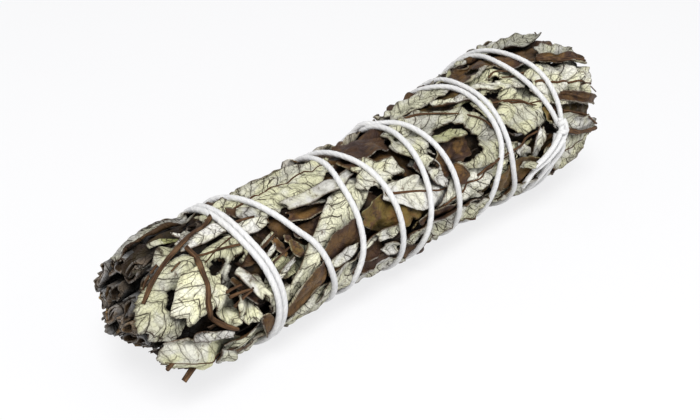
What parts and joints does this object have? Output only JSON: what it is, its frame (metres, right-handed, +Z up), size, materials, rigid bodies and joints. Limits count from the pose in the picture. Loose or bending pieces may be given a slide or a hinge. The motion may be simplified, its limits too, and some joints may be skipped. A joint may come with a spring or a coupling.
{
  "type": "yerba santa smudge stick",
  "caption": "Bundle of dried yerba santa leaves and stems, laid side by side and bound with cotton twine wound down the stick and back to a knot.",
  "frame": {"origin": "on the table, under the middle of the lying stick's box", "axes": "+X along the stick, from the rounded butt to the leaf tips; +Z up; -Y is the side with the twine's knot"},
  "size_m": [0.1259, 0.0376, 0.036],
  "materials": {
    "pale_leaf": "matte felted underside of a dried leaf, net-veined",
    "brown_leaf": "dry resinous upper side of a leaf, slightly glossy",
    "dark_leaf": "dark rolled and folded dried leaf",
    "stem": "dry reddish-brown bark",
    "cotton": "matte twisted cotton"
  },
  "bodies": {
    "root": {"leaf_01": "brown_leaf", "leaf_02": "brown_leaf", "leaf_03": "brown_leaf", "leaf_04": "brown_leaf", "leaf_05": "brown_leaf", "leaf_06": "brown_leaf", "leaf_07": "dark_leaf", "leaf_08": "brown_leaf", "leaf_09": "pale_leaf", "leaf_10": "brown_leaf", "leaf_11": "pale_leaf", "leaf_12": "brown_leaf", "leaf_13": "pale_leaf", "leaf_14": "pale_leaf", "leaf_15": "pale_leaf", "leaf_16": "brown_leaf", "leaf_17": "pale_leaf", "leaf_18": "pale_leaf", "leaf_19": "pale_leaf", "leaf_20": "dark_leaf", "leaf_21": "pale_leaf", "leaf_22": "pale_leaf", "leaf_23": "pale_leaf", "leaf_24": "pale_leaf", "leaf_25": "pale_leaf", "leaf_26": "brown_leaf", "leaf_27": "pale_leaf", "leaf_28": "pale_leaf", "leaf_29": "brown_leaf", "leaf_30": "pale_leaf", "leaf_31": "brown_leaf", "leaf_32": "pale_leaf", "leaf_33": "pale_leaf", "leaf_34": "pale_leaf", "leaf_35": "pale_leaf", "leaf_36": "pale_leaf", "leaf_37": "pale_leaf", "leaf_38": "pale_leaf", "leaf_39": "brown_leaf", "leaf_40": "pale_leaf", "leaf_41": "brown_leaf", "leaf_42": "pale_leaf", "leaf_43": "brown_leaf", "inner_leaf_near_1": "dark_leaf", "inner_leaf_far_1": "dark_leaf", "inner_leaf_near_2": "dark_leaf", "inner_leaf_far_2": "dark_leaf", "inner_leaf_near_3": "dark_leaf", "inner_leaf_far_3": "dark_leaf", "inner_leaf_near_4": "dark_leaf", "inner_leaf_far_4": "dark_leaf", "stem_centre": "stem", "stem_lower": "stem", "stem_back": "stem", "stem_upper": "stem", "twig_near_long": "stem", "twig_near_bent": "stem", "twig_far_upper": "stem", "twig_far_lower": "stem", "twine": "cotton"}
  },
  "joints": []
}
